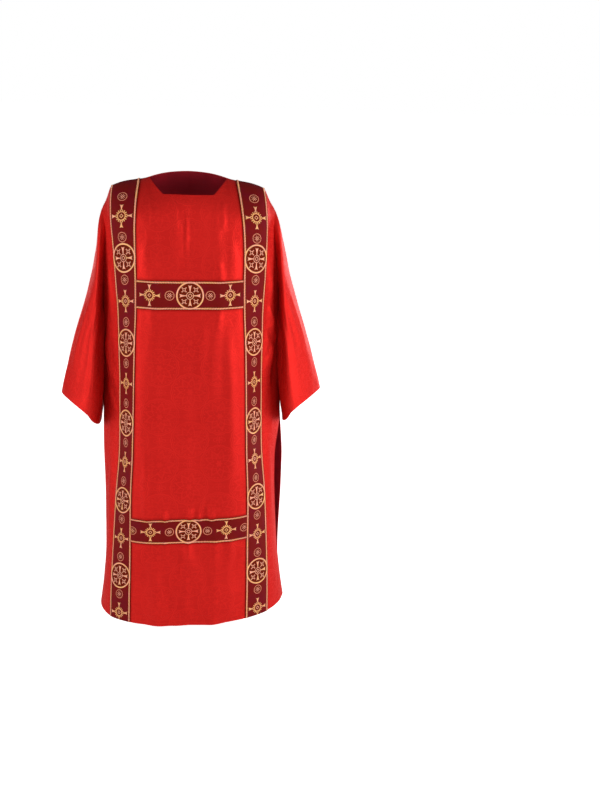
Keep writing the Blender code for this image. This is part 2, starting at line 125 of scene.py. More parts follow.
# Broad upright folds of a panel: the key point p of the fold's middle, its half width in key points, its
# rise, and the heights it runs between.
FOLD_ENDS = 0.35
FOLDS = {
    "front": (
        (-0.10, 0.22, -0.0030, -0.050, -0.250),
        (0.55, 0.26, 0.0035, -0.080, -0.560),
        (-0.62, 0.24, 0.0030, -0.120, -0.640),
        (0.20, 0.30, -0.0040, -0.480, -0.990),
        (-0.35, 0.26, -0.0030, -0.560, -0.960),
        (0.46, 0.22, 0.0060, -0.930, -1.400),
        (-0.50, 0.26, 0.0060, -0.960, -1.400),
        (0.02, 0.24, -0.0050, -0.980, -1.400),
    ),
    "back": (
        (0.00, 0.22, 0.0070, -0.280, -1.100),
        (0.36, 0.20, -0.0060, -0.330, -0.980),
        (-0.34, 0.22, -0.0065, -0.300, -1.000),
        (0.66, 0.22, 0.0055, -0.320, -0.960),
        (-0.66, 0.22, 0.0060, -0.330, -1.020),
        (0.42, 0.26, 0.0060, -0.960, -1.400),
        (-0.30, 0.28, 0.0070, -0.990, -1.400),
    ),
}
# Narrower creases of a panel, in millimetres: each runs from (u, z) to (u, z), u being measured along the
# cloth from the middle, and has a half width and a rise. It widens along its run, bows a little and dies
# away at both ends.
BOW, BOW_TURNS, BOW_PHASE = 0.10, 7.0, 40
NARROW_END, WIDENING = 0.75, 0.45
STARTS_OVER, ENDS_OVER, LEFT_AT_ENDS = 0.35, 0.45, 0.1
CREASES = {
    "front": (
        (-98, -40, -100, -95, 12, 1.6),
        (-34, -45, -36, -150, 12, 2.2),
        (-11, -60, -12, -235, 14, -2.4),
        (4, -80, 2, -205, 20, 2.6),
        (74, -40, 72, -175, 15, 2.5),
        (90, -50, 88, -135, 13, 3.4),
        (112, -140, 117, -280, 24, 3.6),
        (76, -190, 82, -275, 16, 3.4),
        (-118, -140, -116, -270, 22, 2.4),
        (74, -310, 40, -640, 42, 8.8),
        (84, -320, 70, -400, 14, 2.2),
        (-106, -325, -100, -400, 14, 1.4),
        (106, -370, 118, -960, 30, 6.6),
        (-126, -400, -130, -960, 26, 1.8),
        (-122, -740, -118, -1010, 20, 5.4),
        (-68, -892, -62, -1004, 12, 6.8),
        (6, -886, -2, -1004, 13, 7.2),
        (28, -900, 34, -1004, 10, 4.4),
        (64, -886, 70, -1004, 13, 7.2),
        (50, -870, 48, -960, 12, -2.6),
        (-6, -960, 4, -1290, 34, 8),
        (0, -960, -2, -1095, 14, 5),
        (-6, -1010, 76, -1290, 30, 5),
        (-66, -960, -70, -1075, 13, 3.6),
        (78, -960, 74, -1075, 13, 3.6),
        (118, -960, 114, -1130, 24, 6),
        (-84, -1030, -44, -1290, 36, -5.6),
        (112, -1060, 120, -1290, 30, 3.2),
        (236, -200, 262, -330, 18, 3.6),
        (246, -330, 282, -420, 14, 3.6),
        (250, -400, 296, -490, 14, -3.4),
        (250, -300, 232, -520, 20, -2.8),
        (300, -400, 244, -560, 22, 4.4),
        (304, -450, 262, -680, 24, -3.2),
        (-300, -410, -246, -590, 22, 4.4),
        (-304, -460, -268, -680, 24, -3.2),
        (-290, -540, -246, -660, 16, 3),
        (-248, -210, -262, -380, 18, 2.4),
        (286, -430, 284, -600, 24, -6),
        (262, -700, 270, -1050, 26, 2.6),
        (276, -330, 284, -720, 24, 5),
        (-276, -330, -286, -720, 24, 6),
        (-262, -720, -276, -1080, 26, 2.4),
    ),
    "back": (
        (0, -300, 8, -620, 20, 2.2),
        (-18, -520, -26, -900, 18, 1.8),
        (52, -310, 40, -560, 16, -2),
        (-70, -300, -96, -620, 18, 2.6),
        (104, -300, 112, -520, 16, 2.6),
        (-118, -300, -126, -460, 14, 1.8),
        (24, -100, 18, -222, 18, 1.4),
        (-60, -80, -52, -222, 18, 1.6),
        (-90, -860, -74, -936, 14, 2.4),
        (52, -850, 60, -936, 14, 2.2),
        (300, -410, 244, -590, 22, 3.4),
        (302, -470, 262, -690, 24, -2.6),
        (-300, -405, -246, -580, 22, 3.4),
        (-302, -460, -262, -680, 24, -2.6),
        (236, -180, 262, -340, 18, 2.6),
        (-236, -190, -264, -350, 18, 2.8),
        (60, -1030, 66, -1262, 24, 2.4),
        (-40, -1020, -60, -1262, 26, 2.6),
    ),
}
Hang = namedtuple("Hang", "z shift skew tilt")
HALF_DEPTH = 0.160
HANG = [Hang(*row) for row in (
    (0.050, 0.000, 0.000, 0.000),
    (0.000, 0.000, 0.000, 0.000),
    (-0.200, 0.008, 0.004, 0.005),
    (-0.450, 0.010, 0.006, 0.012),
    (-0.940, 0.012, 0.012, 0.020),
    (-1.270, 0.013, 0.016, 0.014),
)]
# How many cloth columns lie between key points, and rows between heights.
COLUMN_COUNTS = ((0.0, NECK_CORNER, 14), (NECK_CORNER, NECK_TIP, 9), (NECK_TIP, 1.0, 6), (1.0, 2.0, 15),
                 (2.0, 3.0, 19), (3.0, 4.0, 10))
SHOULDER_ROWS = 70
ARMHOLE_ROWS = 26
SKIRT_ROWS = 166
# How finely a column is followed over the shoulder and below it, before its rows are spaced evenly.
ARCH_POINTS, BELOW_POINTS = 120, 60
# The cloth's own slight waves: direction, length and share of each. They are calm on the shoulder and at
# the side seams, and the clavi and cross bands hold the cloth under them flatter.
WAVES = ((0.15, 0.170, 1.0), (-0.35, 0.105, 0.7), (0.9, 0.075, 0.35), (-0.1, 0.052, 0.3))
PANEL_WAVES, SLEEVE_WAVES = 0.00045, 0.0005
CALM_FROM, CALM_OVER = 0.02, 0.06
SEAM_CALM = 0.5
UNDER_CLAVUS, UNDER_BAND, BAND_SOFT, BESIDE_CLAVUS = 0.35, 0.7, 0.008, 0.03
SEAM_DRAWN_IN = 0.0009
# The cross bands: their panel and the heights of their edges.
Band = namedtuple("Band", "panel top bottom")
BANDS = {
    "front_upper_band": Band("front", -0.256, -0.332),
    "front_lower_band": Band("front", -0.939, -1.011),
    "back_upper_band": Band("back", -0.226, -0.302),
    "back_lower_band": Band("back", -0.939, -1.011),
}


def curve_of(table, key, column):
    """Knots, values and slopes of a monotone cubic through one column of a table."""
    rows = sorted(table, key=lambda row: getattr(row, key))
    at = np.array([getattr(row, key) for row in rows], float)
    value = np.array([getattr(row, column) for row in rows], float)
    step = np.diff(at)
    rate = np.diff(value) / step
    slope = np.zeros(len(at))
    slope[0], slope[-1] = rate[0], rate[-1]
    for i in range(1, len(rate)):
        if rate[i - 1] * rate[i] > 0:
            before, after = 2 * step[i] + step[i - 1], step[i] + 2 * step[i - 1]
            slope[i] = (before + after) / (before / rate[i - 1] + after / rate[i])
    return at, value, slope


def cubic(a, slope_a, b, slope_b, t):
    """The way from a to b with these slopes at its ends, at shares t."""
    return (
        a * ((1 + 2 * t) * (1 - t) ** 2)
        + slope_a * (t * (1 - t) ** 2)
        + b * (t * t * (3 - 2 * t))
        + slope_b * (t * t * (t - 1))
    )


curves = {}


def read(table, key, column, where):
    """One column of a table, read smoothly between its rows and straight on past its ends."""
    name = (id(table), key, column)
    if name not in curves:
        curves[name] = curve_of(table, key, column)
    at, value, slope = curves[name]
    where = np.asarray(where, float)
    i = np.clip(np.searchsorted(at, where, side="right") - 1, 0, len(at) - 2)
    step = at[i + 1] - at[i]
    share = (where - at[i]) / step
    before, after = slope[i] * step, slope[i + 1] * step
    inside = cubic(value[i], before, value[i + 1], after, np.clip(share, 0, 1))
    return inside + np.minimum(share, 0) * before + np.maximum(share - 1, 0) * after


def read_row(table, z):
    """A table's whole row at heights z."""
    return type(table[0])(z, *(read(table, "z", name, z) for name in table[0]._fields[1:]))


def ease(t):
    """0 to 1 with level ends."""
    t = np.clip(t, 0.0, 1.0)
    return t * t * (3 - 2 * t)


def pair(a, b):
    """Points of a plane from their two coordinates."""
    return np.stack(np.broadcast_arrays(np.asarray(a, float), np.asarray(b, float)), axis=-1)


def long(v):
    """The lengths of vectors."""
    return np.linalg.norm(v, axis=-1, keepdims=True)


def lengths(grid, axis=0):
    """How far each point lies from the first along a run of points, or along each line of a grid."""
    far = np.cumsum(long(np.diff(grid, axis=axis))[..., 0], axis=axis)
    return np.concatenate([np.zeros_like(far.take([0], axis)), far], axis=axis)


def along_run(at, far, run):
    """The points at distances `at` along a run whose own points lie at distances `far`."""
    return np.stack([np.interp(at, far, run[:, k]) for k in range(run.shape[1])], axis=-1)


def through(keys, i, t):
    """Points on the smooth curves through keys, a share t of the way from key i to key i + 1."""
    step = keys[i + 1] - keys[i]
    span = long(step)
    slopes = []
    for beside in (keys[i] - keys[i - 1], keys[i + 2] - keys[i + 1]):
        far = long(beside)
        slopes.append((step * (far / span) + beside * (span / far)) / (span + far) * span)
    return cubic(keys[i], slopes[0], keys[i + 1], slopes[1], np.asarray(t, float)[..., None])


def section_line(panel, p, z):
    """The place (x, forward) of column p in the sections at heights z, before the shoulders close it."""
    hand = -1 if p < 0 else 1
    row = read_row(FRONT if panel == "front" else BACK, z)
    turn = np.radians(row.turn)
    inner = pair(row.band_x, row.centre - row.crown)
    outer = inner + BAND_WIDTH * pair(np.cos(turn), -np.sin(turn))
    out, apart = SLITS[panel, hand]
    opening = ease((SLIT_TOP - z) / SLIT_OPENS_OVER)
    standing = out * opening * ease((z - HEM) / SLIT_CLOSES_OVER)
    fold = pair(row.fold_x + FOLD_FOLLOWS * standing, row.fold_y)
    seam = pair(row.seam_x + standing, row.seam_y + apart * opening)
    rest = seam * 2 - fold
    past = rest + (fold * (1, -1) - rest) * ease((SIDE_FROM - z) / SIDE_OVER)[..., None]
    keys = (inner * (-1, 1), pair(0.0, row.centre), inner, outer, fold, seam, past)
    i = min(int(abs(p)), 3)
    return through(keys, i + 1, abs(p) - i) * (hand, 1)


def fold_rise(panel, p, z):
    """How far the broad folds lift the cloth along column p."""
    rise = np.zeros_like(z)
    for middle, width, most, top, bottom in FOLDS[panel]:
        across = (p - middle) / width
        if abs(across) < 1:
            share = (top - z) / (top - bottom)
            swell = ease(share / FOLD_ENDS) * ease((1 - share) / FOLD_ENDS)
            rise += most * swell * (1 + math.cos(math.pi * across)) / 2
    return rise


def body_line(panel, p, z):
    """Points of column p at heights z on the outer face of a panel."""
    x, forward = section_line(panel, p, z).T
    forward = forward + fold_rise(panel, p, z)
    ridge = read(SHOULDER, "p", "z", abs(p))
    below = (ridge - z) / read(SHOULDER, "p", "drop", abs(p))
    forward = forward * np.sqrt(np.clip(1 - (1 - np.clip(below, 0, 1)) ** 2, 0, 1))
    return np.stack([x, (-1 if panel == "front" else 1) * forward, z], axis=-1)


def ridge_height(outwards, turn):
    """The height of the cloth a given turn, in degrees, below the shoulder's ridge."""
    drop = read(SHOULDER, "p", "drop", outwards)
    return read(SHOULDER, "p", "z", outwards) - drop * (1 - np.cos(np.radians(turn)))


def neckline(panel, outwards):
    """The height of the neck edge at |p| inside the neck points."""
    tip = ridge_height(NECK_TIP, 0)
    if panel == "back":
        return tip + BACK_NECK_RISE * (1 - (outwards / NECK_TIP) ** 2)
    side = (outwards - NECK_CORNER) / (NECK_TIP - NECK_CORNER)
    return FRONT_NECK_DROP + max(side, 0.0) * (tip - FRONT_NECK_DROP)


def spread(run, count):
    """count + 1 points spaced evenly along a run of points."""
    far = lengths(run)
    return along_run(np.linspace(0, far[-1], count + 1), far, run)


def panel_column(panel, p):
    """Column p of a panel, from its neck edge or shoulder seam down to the hem."""
    outwards = abs(p)
    ridge, drop = read(SHOULDER, "p", "z", outwards), read(SHOULDER, "p", "drop", outwards)
    if outwards < NECK_TIP:
        start = math.degrees(math.acos(1 - (ridge - neckline(panel, outwards)) / drop))
    else:
        start = read(SHOULDER, "p", "seam_turn", outwards) * (-1 if panel == "front" else 1)
    turns = np.linspace(start, 90, ARCH_POINTS)
    heights = ridge_height(outwards, np.abs(turns))
    arch = np.where((turns >= 0)[:, None], body_line(panel, p, heights), body_line("back", p, heights))
    heights = np.linspace(ridge_height(outwards, 90), SHOULDER_ROWS_END, BELOW_POINTS)[1:]
    below = body_line(panel, p, heights)
    upper = spread(np.concatenate([arch, below]), SHOULDER_ROWS)
    hem = HEM + HEM_DIP * ease(outwards / 4)
    side = np.linspace(SHOULDER_ROWS_END, UNDERARM, ARMHOLE_ROWS + 1)[1:]
    skirt = np.linspace(UNDERARM, hem, SKIRT_ROWS + 1)[1:]
    return np.concatenate([upper, body_line(panel, p, np.concatenate([side, skirt]))])


def normals_of(grid):
    """Outward normals of a grid of points, given column by column from the wearer's right to left."""
    across, down = np.gradient(grid, axis=0), np.gradient(grid, axis=1)
    normal = np.cross(down, across)
    return normal / long(normal)


def crease_rise(creases, u, z):
    """How far creases lift the cloth at (u, z)."""
    rise = np.zeros_like(u)
    for u_from, z_from, u_to, z_to, width, most in creases:
        start = np.array((u_from, z_from))
        run = np.array((u_to, z_to)) - start
        far = pair(u, z) - start
        share = far @ run / (run @ run)
        bow = BOW * np.sin(share * BOW_TURNS + u_from * BOW_PHASE) * width
        away = (far[..., 0] * run[1] - far[..., 1] * run[0]) / math.hypot(*run) + bow
        away /= width * (NARROW_END + WIDENING * np.clip(share, 0, 1))
        taper = ease(share / STARTS_OVER + LEFT_AT_ENDS) * ease((1 - share) / ENDS_OVER + LEFT_AT_ENDS)
        rise += most * taper * (1 + np.cos(math.pi * np.clip(away, -1, 1))) / 2
    return rise


def unevenness(u, z, seed, size):
    """Slow, slight waves all over the cloth."""
    wave = np.zeros_like(u)
    for turn, length, share in WAVES:
        phase = (u * math.cos(turn) + z * math.sin(turn) * 0.6) * 2 * math.pi / length
        drift = 1.7 * np.sin(z * 2 * math.pi / (length * 3.1) + seed * 1.9 + length * 60)
        wave += share * np.sin(phase + drift + seed * 2.3 + length * 90)
    return wave * size


def hang(points):
    """Points of the even garment moved to where it hangs in fact."""
    x, y, z = np.moveaxis(points, -1, 0)
    row = read_row(HANG, z)
    return np.stack([x + row.shift + row.skew * y / HALF_DEPTH, y, z + row.tilt * x], axis=-1)


half = np.concatenate([np.linspace(low, high, count + 1)[1:] for low, high, count in COLUMN_COUNTS])
places = np.concatenate([-half[::-1], [0.0], half])
# Key points are found with this much to spare, and sections are measured round at these heights.
SPARE = 0.001
LEVELS = np.linspace(HEM - 0.02, 0.06, 90)
# A surface's points and normals, its cloth coordinates across and up from the hem, in metres, and the
# heights and points it has before it is creased and hung. All are grids of columns.
Surface = namedtuple("Surface", "points facing u v z even")


def panel_surface(panel):
    """The outer face of a panel."""
    even = np.stack([panel_column(panel, p) for p in places])
    z = even[..., 2]
    arcs = lengths(np.stack([section_line(panel, p, LEVELS) for p in places]))
    arcs -= arcs[len(places) // 2]
    u = np.stack([np.interp(heights, LEVELS, arc) for heights, arc in zip(z, arcs)])
    outwards = np.abs(places)[:, None]
    held = (outwards > 1 - BESIDE_CLAVUS) & (outwards < 2 + BESIDE_CLAVUS)
    stiff = np.where(held, UNDER_CLAVUS, 1.0)
    for band in BANDS.values():
        if band.panel == panel:
            under = ease((band.top - z) / BAND_SOFT) * ease((z - band.bottom) / BAND_SOFT) * (outwards < 1)
            stiff = stiff * (1 - UNDER_BAND * under)
    rise = crease_rise(np.array(CREASES[panel]) / 1000, u, z) + unevenness(u, z, len(panel), PANEL_WAVES)
    rise = rise * stiff * ease((4 - outwards) / SEAM_CALM)
    rise *= ease((CALM_FROM - z) / CALM_OVER)
    rise[np.abs(places) > NECK_TIP, 0] -= SEAM_DRAWN_IN
    side = 1 if panel == "front" else -1
    points = hang(even + normals_of(even) * side * rise[..., None])
    return Surface(points, normals_of(points) * side, u, lengths(even[:, ::-1], 1)[:, ::-1], z, even)


def select_only(piece):
    bpy.ops.object.select_all(action="DESELECT")
    piece.select_set(True)
    bpy.context.view_layer.objects.active = piece


def edit(piece, operator, **settings):
    """Runs one mesh operator on the whole of a piece."""
    select_only(piece)
    bpy.ops.object.mode_set(mode="EDIT")
    bpy.ops.mesh.select_all(action="SELECT")
    operator(**settings)
    bpy.ops.object.mode_set(mode="OBJECT")


def grid_piece(name, points, u, v, outwards=True, **values):
    """A sheet made from a grid primitive, its points placed by the cloth. points go column by column,
    from the wearer's right to left, and from the top edge down, and so do any values it carries."""
    columns, rows = points.shape[:2]
    bpy.ops.mesh.primitive_grid_add(x_subdivisions=columns - 1, y_subdivisions=rows - 1, size=1)
    piece = bpy.context.object
    piece.name = name
    mesh = piece.data
    mesh.name = name
    order = slice(None) if outwards else slice(None, None, -1)

    def as_laid(grid):
        """A grid's values in the order of the primitive's own points."""
        return grid[order, ::-1].swapaxes(0, 1).astype(np.float32)

    mesh.vertices.foreach_set("co", as_laid(points).reshape(-1))
    corners = np.empty(len(mesh.loops), np.int32)
    mesh.loops.foreach_get("vertex_index", corners)
    mesh.uv_layers.active.data.foreach_set("uv", as_laid(pair(u, v)).reshape(-1, 2)[corners].reshape(-1))
    for title, value in values.items():
        mesh.attributes.new(title, "FLOAT", "POINT").data.foreach_set("value", as_laid(value).reshape(-1))
    bpy.ops.object.shade_smooth()
    return piece


def give_wall(piece, thickness, inside=0):
    """A wall for a sheet, inwards from its outer face, with the material in slot `inside` behind."""
    select_only(piece)
    wall = piece.modifiers.new("wall", "SOLIDIFY")
    wall.thickness = thickness
    wall.offset = -1
    wall.use_quality_normals = True
    wall.material_offset = inside
    bpy.ops.object.modifier_apply(modifier="wall")
    bpy.ops.object.shade_smooth_by_angle(angle=math.radians(50))


class Maker:
    """Adds nodes to one tree. Everything below `node` gives back the new node's output."""

    def __init__(self, tree):
        self.tree = tree

    def feed(self, node, inputs):
        """Links or sets a node's inputs, called by name or by number. Colours are red, green and blue."""
        for name, value in inputs.items():
            socket = node.inputs[name]
            if isinstance(value, bpy.types.NodeSocket):
                self.tree.links.new(value, socket)
            else:
                socket.default_value = (*value, 1.0) if socket.type == "RGBA" else value

    def node(self, kind, inputs=None, **settings):
        made = self.tree.nodes.new(kind)
        for name, value in settings.items():
            setattr(made, name, value)
        self.feed(made, inputs or {})
        return made

    def math(self, operation, *values):
        return self.node("ShaderNodeMath", dict(enumerate(values)), operation=operation).outputs[0]

    def vector(self, operation, *values):
        made = self.node("ShaderNodeVectorMath", dict(enumerate(values)), operation=operation)
        return made.outputs["Value" if operation == "LENGTH" else "Vector"]

    def scaled(self, value, by, plus=0.0):
        return self.math("MULTIPLY_ADD", value, by, plus)

    def xyz(self, vector):
        return self.node("ShaderNodeSeparateXYZ", {"Vector": vector}).outputs

    def step(self, value, low, high):
        """0 below low to 1 above high, with level ends. low may be the larger one."""
        inputs = {"Value": value, "From Min": low, "From Max": high}
        return self.node("ShaderNodeMapRange", inputs, interpolation_type="SMOOTHSTEP").outputs["Result"]

    def line(self, value, centre, half_width, soft):
        """1 where value is within half_width of centre."""
        away = self.math("ABSOLUTE", self.math("SUBTRACT", value, centre))
        return self.step(away, half_width + soft, half_width)

    def mix(self, share, a, b):
        """Colour a, or b where share is 1."""
        return self.node("ShaderNodeMix", {"Factor": share, 6: a, 7: b}, data_type="RGBA").outputs[2]

    def most(self, *values):
        total = values[0]
        for value in values[1:]:
            total = self.math("MAXIMUM", total, value)
        return total

    def noise(self, vector, scale, detail=2.0):
        inputs = {"Vector": vector, "Scale": scale, "Detail": detail}
        return self.node("ShaderNodeTexNoise", inputs).outputs["Fac"]

    def streaks(self, vector, *close):
        """Noise drawn out one way: `close` is how fine it is across and along."""
        return self.noise(self.vector("MULTIPLY", vector, (*close, 1.0)), 1.0)

    def ribs(self, vector, scale, direction, distortion=0.0):
        """Fine parallel ribs."""
        inputs = {"Vector": vector, "Scale": scale, "Distortion": distortion, "Detail": 0.0}
        return self.node("ShaderNodeTexWave", inputs, bands_direction=direction).outputs["Fac"]

    def bump(self, height, strength, distance):
        inputs = {"Height": height, "Strength": strength, "Distance": distance}
        return self.node("ShaderNodeBump", inputs).outputs["Normal"]

    def finish(self, shader, colour, roughness, normal):
        self.feed(shader, {"Base Color": colour, "Roughness": roughness, "Normal": normal})

    def own_map(self):
        """The mesh's own map of the cloth, in metres."""
        return self.node("ShaderNodeUVMap", uv_map="UVMap").outputs["UV"]

    def carried(self, name):
        """A value that the mesh carries at its points."""
        return self.node("ShaderNodeAttribute", attribute_name=name).outputs["Fac"]


# The damask's figure: rosettes in rings that touch each other, with a small flower in each gap.
REPEAT_ACROSS, REPEAT_DOWN = 0.166, 0.140
half_across, half_down = REPEAT_ACROSS / 2, REPEAT_DOWN / 2
figure_group = bpy.data.node_groups.new("damask_figure", "ShaderNodeTree")
figure_group.interface.new_socket(name="Vector", in_out="INPUT", socket_type="NodeSocketVector")
for title in ("Figure", "Height", "Shade"):
    figure_group.interface.new_socket(name=title, in_out="OUTPUT", socket_type="NodeSocketFloat")
make = Maker(figure_group)
cloth_at = make.node("NodeGroupInput").outputs["Vector"]


def nearest_centre(*lattices):
    """The distance to the nearest centre of two lattices, and the angle round it."""
    found = []
    for shift in lattices:
        moved = make.vector("ADD", cloth_at, (*shift, 0.0))
        wrapped = make.vector("WRAP", moved, (half_across, half_down, 0.0), (-half_across, -half_down, 0.0))
        flat = make.vector("MULTIPLY", wrapped, (1.0, 1.0, 0.0))
        found.append((flat, make.vector("LENGTH", flat)))
    (one, one_far), (two, two_far) = found
    choice = {"Factor": make.math("LESS_THAN", one_far, two_far), 4: two, 5: one}
    chosen = make.xyz(make.node("ShaderNodeMix", choice, data_type="VECTOR").outputs[1])
    return make.math("MINIMUM", one_far, two_far), make.math("ARCTAN2", chosen["Y"], chosen["X"])


def round_wave(angle, count, shift=0.0):
    """A wave with `count` crests on the way round."""
    return make.math("COSINE", make.scaled(angle, float(count), shift))


def lobed(far, angle, count, depth, shift=0.0):
    """The distance from the centre, measured from a lobed edge."""
    return make.math("SUBTRACT", far, make.math("MULTIPLY", round_wave(angle, count, shift), depth))


far, angle = nearest_centre((0.0, 0.0), (half_across, half_down))
gap_far, gap_angle = nearest_centre((half_across, 0.0), (0.0, half_down))
scalloped = lobed(far, angle, 18, 0.0011)
leafy = lobed(far, angle, 9, 0.0055)
petals = lobed(far, angle, 9, 0.0045, math.pi)
heart = lobed(far, angle, 6, 0.0022)
flower = lobed(gap_far, gap_angle, 4, 0.004)
# Each outline's edge, radius, half width and softness, and each filled middle's edge with the radii
# between which it fades.
OUTLINES = (
    (scalloped, 0.0525, 0.0012, 0.0009),
    (scalloped, 0.0475, 0.0006, 0.0008),
    (leafy, 0.0330, 0.0011, 0.0009),
    (leafy, 0.0290, 0.0004, 0.0008),
    (petals, 0.0200, 0.0012, 0.0009),
    (flower, 0.0125, 0.0008, 0.0008),
)
MIDDLES = ((heart, 0.0085, 0.0072), (flower, 0.0068, 0.0056))
beads = make.step(round_wave(angle, 27), 0.1, 0.5)
beads = make.math("MULTIPLY", beads, make.line(far, 0.0425, 0.0014, 0.0008))
spokes = make.math("ABSOLUTE", make.math("SINE", make.scaled(angle, 4.5)))
stems = make.math("MULTIPLY", make.line(spokes, 0.0, 0.06, 0.05), make.line(far, 0.0240, 0.0040, 0.0010))
figure = make.most(
    beads, stems, *(make.line(*row) for row in OUTLINES), *(make.step(*row) for row in MIDDLES),
)
broken = make.step(make.noise(cloth_at, 9.0, 1.0), 0.25, 0.55)
figure = make.math("MULTIPLY", figure, make.scaled(broken, 0.5, 0.5))
weave = make.mix(figure, make.ribs(cloth_at, 260.0, "DIAGONAL", 0.4), make.ribs(cloth_at, 330.0, "X", 0.2))
slubs = make.scaled(make.streaks(cloth_at, 18.0, 320.0), 0.5)
clouds = make.scaled(make.noise(cloth_at, 7.0), 0.5)
make.node("NodeGroupOutput", {
    "Figure": figure,
    "Height": make.scaled(weave, 0.25, figure),
    "Shade": make.math("ADD", slubs, clouds),
})


def new_material(name, **constants):
    """A material, the maker for its nodes, and its shader with these inputs set."""
    made = bpy.data.materials.new(name)
    made.use_nodes = True
    make, shader = Maker(made.node_tree), made.node_tree.nodes["Principled BSDF"]
    make.feed(shader, {title.replace("_", " "): value for title, value in constants.items()})
    return made, make, shader


DEEP_RED, BRIGHT_RED = (0.592, 0.0152, 0.0128), (0.656, 0.0183, 0.0148)
FIGURE_RED, SHADED_RED = (0.682, 0.0200, 0.0160), (0.230, 0.0050, 0.0040)
damask, make, shader = new_material(
    "red_damask", Metallic=0.35, Specular_IOR_Level=0.14, Specular_Tint=(1.0, 0.12, 0.06),
    Sheen_Weight=0.02, Sheen_Roughness=0.4, Sheen_Tint=(1.0, 0.10, 0.06),
)
woven = make.node("ShaderNodeGroup", node_tree=figure_group)
make.feed(woven, {"Vector": make.own_map()})
woven = woven.outputs
ground = make.mix(make.step(woven["Shade"], 0.35, 0.65), DEEP_RED, BRIGHT_RED)
red = make.mix(woven["Figure"], ground, FIGURE_RED)
# Painted shade: the damask is darkened towards SHADED_RED under and right beside the bands, where their
# edges would shade it.
make.finish(
    shader,
    make.mix(make.scaled(make.carried("beside_band"), 0.75), red, SHADED_RED),
    make.scaled(woven["Figure"], -0.11, 0.525),
    make.bump(woven["Height"], 0.45, 0.00045),
)

DEEP_CRIMSON, BRIGHT_CRIMSON = (0.480, 0.0180, 0.034), (0.600, 0.0240, 0.045)
lining, make, shader = new_material(
    "crimson_lining", Specular_IOR_Level=0.3, Specular_Tint=(1.0, 0.3, 0.35),
)
inner_map = make.own_map()
satin = make.streaks(inner_map, 14.0, 260.0)
make.finish(
    shader,
    make.mix(satin, DEEP_CRIMSON, BRIGHT_CRIMSON),
    make.scaled(satin, 0.16, 0.40),
    make.bump(make.ribs(inner_map, 300.0, "Y"), 0.3, 0.0002),
)

# How far from a band's edge the damask is in its shade.
SHADED = 0.006


def beside_bands(panel, u, z):
    """How much painted shade the damask gets: 1 under and right beside the sewn bands, to 0 a little away.
    """
    inner, outer = (np.abs(u[int(np.argmin(np.abs(places - at)))]) for at in (1.0, 2.0))
    away = np.maximum(inner - np.abs(u), np.abs(u) - outer)
    between = (np.abs(places) < 1 + SPARE)[:, None]
    for band in BANDS.values():
        if band.panel == panel:
            across = np.maximum(z - band.top, band.bottom - z)
            away = np.where(between, np.minimum(away, across), away)
    return np.clip(1 - away / SHADED, 0, 1)


def make_cloth(piece, node):
    """Damask outside and lining inside, in place of a node."""
    piece.data.materials.append(damask)
    piece.data.materials.append(lining)
    give_wall(piece, CLOTH, inside=1)
    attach(piece, "root")
    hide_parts(node)


surfaces = {}
panels = {}
for panel in ("front", "back"):
    surfaces[panel] = panel_surface(panel)
    points, facing, u, v, z, even = surfaces[panel]
    # Each panel carries how much painted shade its damask gets beside the bands.
    panels[panel] = grid_piece(f"{panel}_cloth", points, u, v, outwards=panel == "front",
                               beside_band=beside_bands(panel, u, z))
    make_cloth(panels[panel], f"{panel}_panel")

# ---------------------------------------------------------------- sleeves
# Wide open sleeves of the same damask and lining, cut square and sewn into the straight armholes. Each
# hangs as a flattened tube, with one deep upright fold beside the body and softer ones before and behind.
Ring = namedtuple("Ring", "z out_x bulge front back off")
SLEEVE = [Ring(*row) for row in (
    (-0.084, 0.2372, 0.60, 0.000, 0.000, 0.0000),
    (-0.130, 0.2490, 0.48, 0.018, 0.018, 0.0000),
    (-0.200, 0.2635, 0.36, 0.034, 0.034, 0.0000),
    (-0.265, 0.2775, 0.29, 0.049, 0.048, 0.0000),
    (-0.340, 0.2985, 0.24, 0.066, 0.064, 0.0000),
    (-0.430, 0.3265, 0.21, 0.082, 0.084, 0.0000),
    (-0.530, 0.3535, 0.20, 0.094, 0.098, 0.0000),
    (-0.620, 0.3755, 0.20, 0.104, 0.107, 0.0006),
    (-0.700, 0.3905, 0.20, 0.110, 0.113, 0.0095),
)]
CUFF_MIDDLE, CUFF_SLANT = -0.648, 0.047
LEAN = 0.0006
VALLEY_FROM, VALLEY_OVER = -0.095, 0.110
BESIDE_ARMHOLE = 3.6
DEPTH_KEPT = 0.7
# Rows lie a little closer near the armhole, where creases also die away, as they do beside the seam.
SLEEVE_ROWS, CLOSER = 78, 1.12
TOP_CALM, UNDERSIDE_CALM = 0.12, 16
# Creases run from (turn, z) to (turn, z) and have a width and a rise. Turn and width are in degrees round
# the sleeve, 0 on top, 180 under the arm and negative behind, and z and rise are in millimetres.
SLEEVE_CREASES = {
    1: (
        (150, -270, 146, -700, 26, 10),
        (100, -330, 84, -640, 15, 3.2),
        (60, -300, 46, -560, 14, -1.8),
        (34, -260, 24, -600, 12, 1.6),
        (-60, -300, -48, -620, 14, -2.6),
        (-104, -330, -92, -660, 16, 3),
        (-134, -300, -124, -640, 16, -4.2),
    ),
    -1: (
        (150, -270, 146, -700, 26, 10),
        (98, -340, 92, -650, 15, 3),
        (66, -280, 56, -620, 13, -2),
        (40, -300, 30, -560, 12, 1.8),
        (-64, -320, -52, -620, 14, -2.6),
        (-100, -330, -90, -660, 16, 2.8),
        (-136, -300, -126, -640, 16, -4.2),
    ),
}
DEGREE = 0.0018


